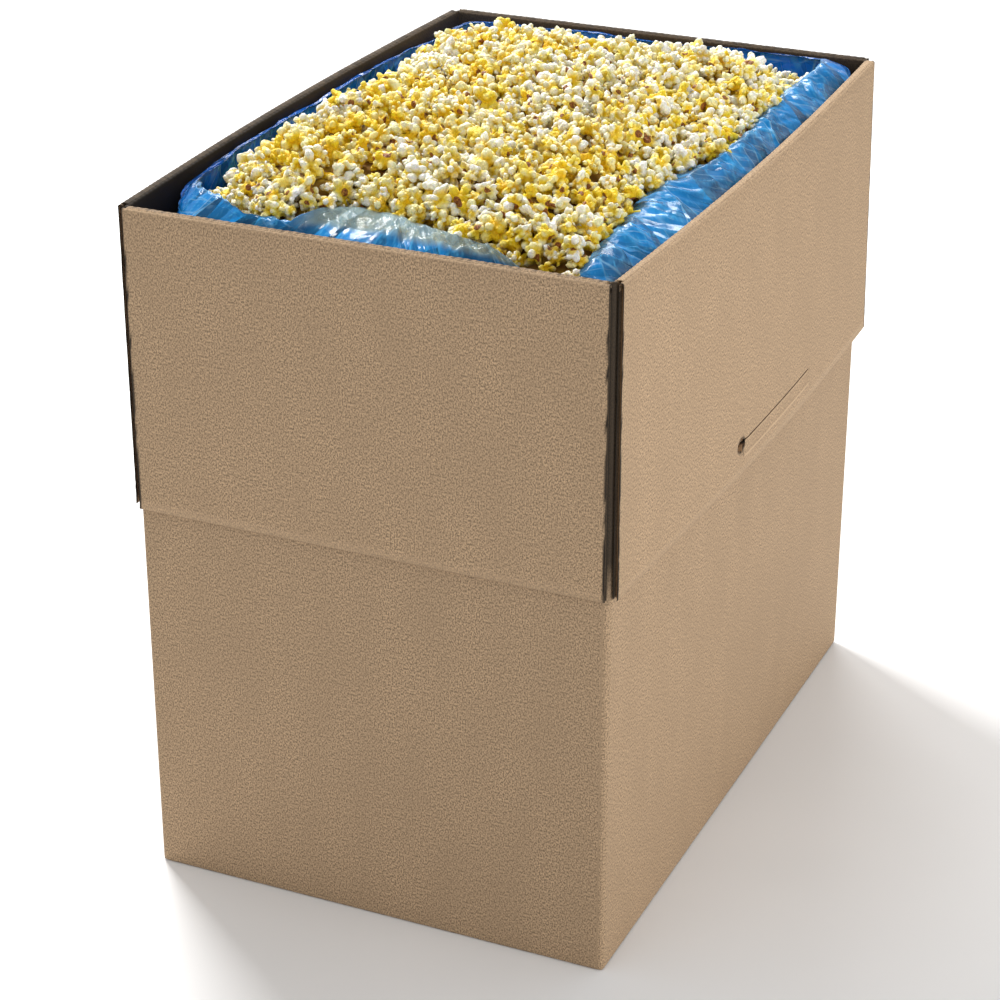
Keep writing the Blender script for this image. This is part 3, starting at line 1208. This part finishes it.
def heap_height(x, y):
    """Height of the heap: a crown of fourth powers with soft ripples, sinking to the film's cuffs.

    It is low at the front left, and falls away towards the left wall and the back wall, where the film shows.
    """
    across = np.clip(x / INSIDE_HALF_WIDTH, -1.0, 1.0)
    along = np.clip(y / INSIDE_HALF_DEPTH, -1.0, 1.0)
    crown = HEAP_CROWN * (1.0 - across ** 4) * (1.0 - along ** 4)
    drop = LEFT_DROP * np.maximum(0.0, -across) ** 4 + BACK_DROP * np.maximum(0.0, along) ** 6
    drop = drop + FRONT_LEFT_DROP * np.maximum(0.0, -across) ** 3 * np.maximum(0.0, -along) ** 3
    drop = drop + LEFT_BANK * smooth_step((-across - 0.60) / 0.36)
    drop = drop + BACK_BANK * smooth_step((along - 0.40) / 0.50)
    ripple = HEAP_RIPPLE * np.sin(21.0 * x + 1.3) * np.cos(17.0 * y - 0.6)
    ripple = ripple + HEAP_RIPPLE * 0.5 * np.sin(34.0 * y + 19.0 * x)
    inside = smooth_step((cuff_distance(x, y) + 0.010) / 0.060)
    return RIM + HEAP_EDGE + (crown + ripple) * inside - drop


def cuff_distance(x, y):
    """How far a place is from the hem of the right and front cuffs, towards the heap's middle."""
    _, right, front, _ = cuff_widths(x, y)
    return np.minimum(INSIDE_HALF_WIDTH + rim_bow(y) - right - x, INSIDE_HALF_DEPTH - front + y)


def build_heap(material):
    """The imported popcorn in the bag: rounds up its wall and under the cuff, a floor, and the heap on top."""
    steps = 48
    side_steps = (steps,) * 4
    depth = FILM + 0.0006
    brim_height = RIM - 0.045
    rings = [wall_ring(side_steps, depth, FLOOR + FILM_GAP + depth, BAG_SHARPNESS_LOW)]
    for height in (0.15, 0.30, 0.45):
        rings.append(wall_ring(side_steps, depth, height, wall_sharpness(height)))
    rings.append(wall_ring(side_steps, depth + 0.004, brim_height, BAG_SHARPNESS_TOP))
    brim = wall_ring(side_steps, depth + 0.010, brim_height, BAG_SHARPNESS_TOP)
    brim[:, 2] = np.minimum(heap_height(brim[:, 0], brim[:, 1]) - 0.012, RIM - 0.012)
    rings.append(brim)
    grid = np.array(rings)
    rows, columns = grid.shape[:2]
    faces = grid_faces(rows, columns, closed=True)
    foot, foot_edge = cap_grid(rings[0], steps, level=rings[0][0, 2])
    foot_numbers, foot_extra = joined_to_ring(foot, foot_edge, 0, rows * columns)
    crown, crown_edge = cap_grid(rings[-1], steps, height_of=core_height)
    crown_numbers, crown_extra = joined_to_ring(crown, crown_edge, (rows - 1) * columns,
                                                rows * columns + len(foot_extra))
    points = np.concatenate((grid.reshape(-1, 3), foot_extra, crown_extra))
    faces = np.concatenate((faces, cap_faces(foot_numbers)[:, ::-1], cap_faces(crown_numbers)))
    piece = new_piece("packed_popcorn", points, faces, (material,))
    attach(piece, "carton")
    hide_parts("popcorn")


def core_height(x, y):
    """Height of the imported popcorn: a little under the loose pieces, and lower still under the cuff."""
    from_hem = cuff_distance(x, y)
    open_share = smooth_step((from_hem + 0.002) / 0.012)
    under = 0.0055 + 0.0050 * smooth_step((0.040 - from_hem) / 0.020)
    return (heap_height(x, y) - under) * open_share + (RIM - 0.016) * (1 - open_share)


def cube_directions(cells):
    """Unit directions through the points of a cube's surface grid, and the cube's faces.

    Each face of the cube is a grid of evenly turned angles; the points on shared edges are merged.
    """
    span = np.tan(np.linspace(-1.0, 1.0, cells + 1) * math.pi / 4)
    first, second = np.meshgrid(span, span, indexing="ij")
    ones = np.ones_like(first)
    sides = [np.stack(side, axis=-1) for side in
             ((ones, first, second), (-ones, second, first), (second, ones, first),
              (first, -ones, second), (first, second, ones), (second, first, -ones))]
    points = np.concatenate([side.reshape(-1, 3) for side in sides])
    per_side = (cells + 1) ** 2
    faces = np.concatenate([grid_faces(cells + 1, cells + 1) + index * per_side for index in range(6)])
    merged, back = np.unique(np.round(points, 6), axis=0, return_inverse=True)
    faces = back.reshape(-1)[faces]
    directions = merged / np.linalg.norm(merged, axis=-1, keepdims=True)
    corner = directions[faces]
    turned = np.cross(corner[:, 1] - corner[:, 0], corner[:, 2] - corner[:, 0])
    inward = (turned * corner.mean(axis=1)).sum(axis=-1) < 0
    faces[inward] = faces[inward][:, ::-1]
    return directions, faces


def unit(vectors):
    """Vectors scaled to length one."""
    return vectors / np.linalg.norm(vectors, axis=-1, keepdims=True)


def popped_shapes(count, directions, chance):
    """Many popped pieces, each its own shape: points, creases, hull and butter for each direction.

    Balls stand round a small middle ball on a spiral that leaves one end free, each with smaller balls on
    its tip. The surface is where a ray from the middle leaves the farthest ball, softened by a high-power
    mean. The torn hull lies in the pit at the free end, and butter gathers on one side and in the creases.
    """
    turn = np.arange(LOBES) + 0.5
    height = HULL_PIT - (HULL_PIT + 1.0) * turn / LOBES
    heading = turn * math.pi * (3.0 - math.sqrt(5.0))
    flat = np.sqrt(1.0 - height ** 2)
    spiral = np.stack((flat * np.cos(heading), flat * np.sin(heading), height), axis=-1)
    lobes = unit(spiral[None] + chance.normal(size=(count, LOBES, 3)) * 0.24)
    reach = chance.uniform(0.42, 0.76, (count, LOBES, 1))
    size = chance.uniform(0.19, 0.35, (count, LOBES, 1))
    centres = [np.zeros((count, 1, 3)), lobes * reach]
    radii = [chance.uniform(0.34, 0.46, (count, 1, 1)), size]
    for _ in range(KNOBS):
        tip = unit(lobes + chance.normal(size=lobes.shape) * 0.62)
        centres.append(lobes * reach + tip * size * 0.78)
        radii.append(size * chance.uniform(0.38, 0.60, size.shape))
    centres = np.concatenate(centres, axis=1)
    radii = np.concatenate(radii, axis=1)[..., 0]
    along = np.einsum("vk,cbk->cvb", directions, centres)
    inside = along ** 2 + (radii ** 2 - (centres ** 2).sum(axis=-1))[:, None, :]
    leave = np.where(inside > 0, along + np.sqrt(np.maximum(inside, 0.0)), 0.0).clip(0.0)
    distance = (leave ** 26).sum(axis=-1) ** (1 / 26)
    second = np.partition(leave, -2, axis=-1)[..., -2]
    distance /= distance.max(axis=1, keepdims=True)
    valley = np.exp(-np.maximum(leave.max(axis=-1) - second, 0.0) / 0.035)
    deep = np.clip((0.88 - distance) / 0.42, 0.0, 1.0)
    crease = np.clip(deep * 0.8 + 0.45 * valley * deep, 0.0, 1.0)
    hull = smooth_step((directions[None, :, 2] - 0.66) / 0.2) * smooth_step((0.84 - distance) / 0.22)
    side = unit(chance.normal(size=(count, 3)))
    lean = np.einsum("vk,ck->cv", directions, side)
    stretch = np.exp(chance.normal(size=(count, 1, 3)) * 0.13)
    return directions[None] * distance[..., None] * stretch, crease, hull, lean


def random_turns(count, chance):
    """Evenly spread random turns, from four normal numbers each taken as a unit quaternion."""
    w, x, y, z = unit(chance.normal(size=(count, 4))).T
    return np.stack((
        np.stack((1 - 2 * (y * y + z * z), 2 * (x * y - z * w), 2 * (x * z + y * w)), axis=-1),
        np.stack((2 * (x * y + z * w), 1 - 2 * (x * x + z * z), 2 * (y * z - x * w)), axis=-1),
        np.stack((2 * (x * z - y * w), 2 * (y * z + x * w), 1 - 2 * (x * x + y * y)), axis=-1)), axis=1)


def heap_places(spacing, jitter, clearances, chance):
    """Places on a jittered triangular grid inside the film's opening, clear of each side by an amount."""
    row_step = spacing * math.sqrt(3.0) / 2.0
    rows = np.arange(-int(HALF_DEPTH / row_step) - 1, int(HALF_DEPTH / row_step) + 2)
    columns = np.arange(-int(HALF_WIDTH / spacing) - 1, int(HALF_WIDTH / spacing) + 2)
    column, row = np.meshgrid(columns, rows)
    x = ((column + 0.5 * (row % 2)) * spacing + chance.uniform(-jitter, jitter, column.shape)).ravel()
    y = (row * row_step + chance.uniform(-jitter, jitter, column.shape)).ravel()
    _, right, front, _ = cuff_widths(x, y)
    at_cuff, at_wall, under = clearances
    past_hem = np.where(front < NARROW_FRONT, np.maximum(at_cuff, 0.003), at_cuff)
    at_front = np.maximum(front + past_hem - under * in_tongue(x), np.minimum(front + past_hem, 0.012))
    limit_x = INSIDE_HALF_WIDTH + rim_bow(y) - np.where(x > 0, right + at_cuff, at_wall + LEFT_ROOM)
    limit_y = INSIDE_HALF_DEPTH - np.where(y > 0, at_wall + BACK_ROOM, at_front)
    power = np.where((x > 0) & (y < 0), 120.0, 16.0)
    keep = np.abs(x / limit_x) ** power + np.abs(y / limit_y) ** power <= 1.0
    return x[keep], y[keep]


def film_level(x, y):
    """Height of the folded film without its folds, and true where a place lies under the right or front cuff.

    Where the front cuff is narrow, the places just past its hem count too.
    """
    _, right, front, _ = cuff_widths(x, y)
    from_right = (INSIDE_HALF_WIDTH + rim_bow(y) - x) / right
    from_front = (INSIDE_HALF_DEPTH + y) / front
    level = RIM - TOP_DROP["right"] + CUFF_SWELL * pillow(np.minimum(from_right, from_front))
    margin = 1.0 + 0.009 / front * smooth_step((0.032 - front) / 0.010)
    return level, (from_right < 1.0) | (from_front < margin)


def build_pieces(settings):
    """The loose pieces: two layers over the heap and one along the film's hem, each piece of its own shape.

    Under the film they are smaller and lie lower. A patchy noise and a draw for each piece give it a rank,
    and the ranks are cut into kinds of equal number, so that white and buttery pieces lie in patches.
    """
    chance = np.random.default_rng(settings.seed)
    grids = {layer[4]: cube_directions(layer[4]) for layer in LAYERS}
    layers, fineness = [], []
    for spacing, jitter, clearances, lift, cells, band in LAYERS:
        x, y = heap_places(spacing, jitter, clearances, chance)
        beside_hem = cuff_distance(x, y) < band
        x, y = x[beside_hem], y[beside_hem]
        z = heap_height(x, y) + lift + chance.uniform(-0.0025, 0.0025, len(x))
        level, covered = film_level(x, y)
        z = np.where(covered, np.minimum(z, level - UNDER_FILM), z)
        layers.append(np.stack((x, y, z), axis=-1))
        fineness.append(np.full(len(x), cells))
    centres = np.concatenate(layers)
    fineness = np.concatenate(fineness)
    count = len(centres)
    size = settings.radius * np.exp(settings.spread * chance.normal(size=count).clip(-1.6, 1.4))
    size = np.where(film_level(centres[:, 0], centres[:, 1])[1], np.minimum(size, LARGEST_UNDER_FILM), size)
    turns = random_turns(count, chance)
    patches = lattice_noise(centres[:, 0] / 0.060 + 9.0, centres[:, 1] / 0.060 + 5.0, 61)
    patches = patches + 0.5 * lattice_noise(centres[:, 0] / 0.026 + 3.0, centres[:, 1] / 0.026, 62)
    rank = np.argsort(np.argsort(patches * 0.8 + chance.normal(size=count) * 0.45)) / count
    kind = np.minimum((rank * len(KINDS)).astype(int), len(KINDS) - 1)
    for index, (name, flesh, tint, base_butter) in enumerate(KINDS):
        parts = []
        for cells in grids:
            members = np.flatnonzero((kind == index) & (fineness == cells))
            parts.append(popcorn_mesh(members, grids[cells], centres, size, turns, base_butter, chance))
        points, faces = joined(parts)
        values = {label: np.concatenate([part[2][label] for part in parts]) for label in parts[0][2]}
        piece = new_piece("popcorn_" + name, points, faces, (popped_corn(name + " popcorn", flesh, tint),),
                          values=values)
        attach(piece, "carton")


def popcorn_mesh(members, grid, centres, size, turns, base_butter, chance):
    """Points, faces and values of some of the pieces, each turned, sized and set at its place."""
    directions, shape_faces = grid
    count = len(members)
    shapes, crease, hull, lean = popped_shapes(count, directions, chance)
    torn = (chance.uniform(size=(count, 1)) < HULL_SHARE) * chance.uniform(0.6, 1.0, (count, 1))
    butter = base_butter + 0.16 * chance.normal(size=(count, 1)) + 0.28 * lean + crease
    points = np.einsum("cvk,cjk->cvj", shapes, turns[members]) * size[members, None, None]
    points += centres[members, None]
    sunk = heap_height(points[..., 0], points[..., 1]) - points[..., 2]
    offsets = np.arange(count) * len(directions)
    faces = (shape_faces[None] + offsets[:, None, None]).reshape(-1, 4)
    numbers = (("crease", crease), ("hull", hull * torn), ("butter", butter),
               ("sunk", smooth_step((sunk + 0.002) / 0.012)))
    return points.reshape(-1, 3), faces, {label: value.ravel() for label, value in numbers}


# Stage

def add_light(name, place, aim, size, power, colour=(1.0, 1.0, 1.0)):
    """A soft square light at a place, turned towards a point."""
    data = bpy.data.lights.new(name, "AREA")
    data.shape = "RECTANGLE"
    data.size, data.size_y = size
    data.energy = power
    data.color = colour
    light = bpy.data.objects.new(name, data)
    light.location = place
    away = np.array(place, float) - np.array(aim, float)
    light.rotation_euler = direction_turn(away)
    bpy.context.scene.collection.objects.link(light)


def direction_turn(away):
    """Turn that points an object's own Z axis along a direction, with its X axis level."""
    tilt = math.atan2(math.hypot(away[0], away[1]), away[2])
    heading = math.atan2(away[1], away[0]) + math.pi / 2
    return tilt, 0.0, heading


def build_camera(settings):
    """Camera at the photograph's place."""
    sensor, frame_pixels = 36.0, 1000.0
    target = np.array((-0.0222, 0.0, 0.2388))
    direction = np.array((math.sin(settings.azimuth) * math.cos(settings.elevation),
                          -math.cos(settings.azimuth) * math.cos(settings.elevation),
                          math.sin(settings.elevation)))
    data = bpy.data.cameras.new("camera")
    data.sensor_width = sensor
    data.lens = settings.focal_pixels * sensor / frame_pixels
    data.clip_end = 50.0
    camera = bpy.data.objects.new("camera", data)
    camera.location = target + direction * settings.distance
    camera.rotation_euler = direction_turn(direction)
    bpy.context.scene.collection.objects.link(camera)
    bpy.context.scene.camera = camera


def floor_paint():
    """The floor's pale matt paint, with faint clouds."""
    nodes = Nodes("pale floor")
    tone = nodes.noise(nodes.object_place(), 3.0, 2.0, 0.5)
    colour = nodes.blend(nodes.ramp(tone, (0.3, 0.7, 0.0, 1.0)), (0.86,) * 3, (0.90,) * 3)
    return nodes.finish(Base_Color=colour, Roughness=0.8, Specular_IOR_Level=0.2)


def build_floor():
    """A pale level floor under the carton."""
    half_size, steps, sink = 6.0, 41, 0.0006
    span = np.linspace(-1.0, 1.0, steps) * half_size
    x, y = np.meshgrid(span, span)
    points = np.stack((x, y, np.full_like(x, -sink)), axis=-1).reshape(-1, 3)
    mesh = bpy.data.meshes.new("floor")
    mesh.from_pydata(points.tolist(), [], grid_faces(steps, steps).tolist())
    mesh.materials.append(floor_paint())
    floor = bpy.data.objects.new("floor", mesh)
    bpy.context.scene.collection.objects.link(floor)


def build_world(strength=0.66):
    """Even white light from all round, shown without any change of tone."""
    world = bpy.data.worlds.new("studio")
    world.use_nodes = True
    background = world.node_tree.nodes["Background"]
    background.inputs["Color"].default_value = (1.0, 1.0, 1.0, 1.0)
    background.inputs["Strength"].default_value = strength
    scene = bpy.context.scene
    scene.world = world
    scene.view_settings.view_transform = "Standard"
    scene.view_settings.look = "None"


def build_stage(settings):
    """Camera at the photograph's place, a pale floor, even light from all round and soft lights."""
    build_camera(settings)
    build_floor()
    build_world()
    middle = (0.0, 0.0, 0.4)
    add_light("key", (-1.3, 0.9, 2.5), (0.0, 0.0, 0.55), (0.7, 0.7), 82.0, (1.0, 0.99, 0.98))
    add_light("back light", (-1.0, 2.3, 1.75), (0.0, 0.0, 0.58), (1.3, 0.7), 26.0)
    add_light("right light", (2.1, -0.45, 0.45), middle, (1.0, 0.8), 17.0)
    add_light("front fill", (-0.6, -2.9, 1.3), middle, (1.6, 1.2), 4.0)


# Operators, panel and registration

def settings_of(context):
    """The add-on's settings on the scene."""
    return context.scene.popcorn_carton


class CartonSettings(bpy.types.PropertyGroup):
    """All settings of the carton, by what they belong to."""
    board: bpy.props.PointerProperty(type=BoardSettings, name="Board", description="The corrugated board")
    film: bpy.props.PointerProperty(type=FilmSettings, name="Film", description="The film bag")
    popcorn: bpy.props.PointerProperty(type=PopcornSettings, name="Popcorn", description="The popcorn")
    stage: bpy.props.PointerProperty(type=StageSettings, name="Stage", description="Camera, lights and floor")


class POPCORN_OT_build_carton(bpy.types.Operator):
    """Build the carton's walls and bottom"""
    bl_idname = "popcorn_carton.build_carton"
    bl_label = "Build Carton"

    def execute(self, context):
        board = settings_of(context).board
        kraft = kraft_paper("kraft paper", board)
        build_walls(board, kraft)
        build_bottom(kraft)
        return {"FINISHED"}


class POPCORN_OT_build_flaps(bpy.types.Operator):
    """Build the four folded flaps and the creases they hang from"""
    bl_idname = "popcorn_carton.build_flaps"
    bl_label = "Build Flaps"

    def execute(self, context):
        board = settings_of(context).board
        kraft = kraft_paper("flap kraft paper", board, 1.04)
        flute = flute_paper(board)
        for side in SIDES:
            build_flap(side, board, kraft, flute)
            build_crease(side, board, kraft)
        for side in ("front", "back"):
            build_fold(side, kraft)
        return {"FINISHED"}


class POPCORN_OT_build_film(bpy.types.Operator):
    """Build the crumpled film bag"""
    bl_idname = "popcorn_carton.build_film"
    bl_label = "Build Film Bag"

    def execute(self, context):
        film = settings_of(context).film
        build_film(film, blue_film(film))
        return {"FINISHED"}


class POPCORN_OT_build_popcorn(bpy.types.Operator):
    """Build the heap and the loose pieces on it"""
    bl_idname = "popcorn_carton.build_popcorn"
    bl_label = "Build Popcorn"

    def execute(self, context):
        build_heap(heap_body())
        build_pieces(settings_of(context).popcorn)
        return {"FINISHED"}


class POPCORN_OT_build_stage(bpy.types.Operator):
    """Build the camera, the lights and the floor"""
    bl_idname = "popcorn_carton.build_stage"
    bl_label = "Build Stage"

    def execute(self, context):
        build_stage(settings_of(context).stage)
        return {"FINISHED"}


OPERATORS = (POPCORN_OT_build_carton, POPCORN_OT_build_flaps, POPCORN_OT_build_film, POPCORN_OT_build_popcorn,
             POPCORN_OT_build_stage)


class POPCORN_PT_carton(bpy.types.Panel):
    """Sidebar panel that lists the carton's operators"""
    bl_label = "Popcorn Carton"
    bl_idname = "POPCORN_PT_carton"
    bl_space_type = "VIEW_3D"
    bl_region_type = "UI"
    bl_category = "Popcorn Carton"

    def draw(self, context):
        settings = settings_of(context)
        for group in (settings.board, settings.film, settings.popcorn, settings.stage):
            box = self.layout.box()
            for label in group.__annotations__:
                box.prop(group, label)
        for operator in OPERATORS:
            self.layout.operator(operator.bl_idname)


CLASSES = (BoardSettings, FilmSettings, PopcornSettings, StageSettings, CartonSettings, *OPERATORS,
           POPCORN_PT_carton)


def register():
    for item in CLASSES:
        bpy.utils.register_class(item)
    bpy.types.Scene.popcorn_carton = bpy.props.PointerProperty(type=CartonSettings)


def unregister():
    del bpy.types.Scene.popcorn_carton
    for item in reversed(CLASSES):
        bpy.utils.unregister_class(item)


def main():
    register()
    bpy.ops.popcorn_carton.build_carton()
    bpy.ops.popcorn_carton.build_flaps()
    bpy.ops.popcorn_carton.build_film()
    bpy.ops.popcorn_carton.build_popcorn()
    bpy.ops.popcorn_carton.build_stage()


if __name__ == "__main__":
    main()
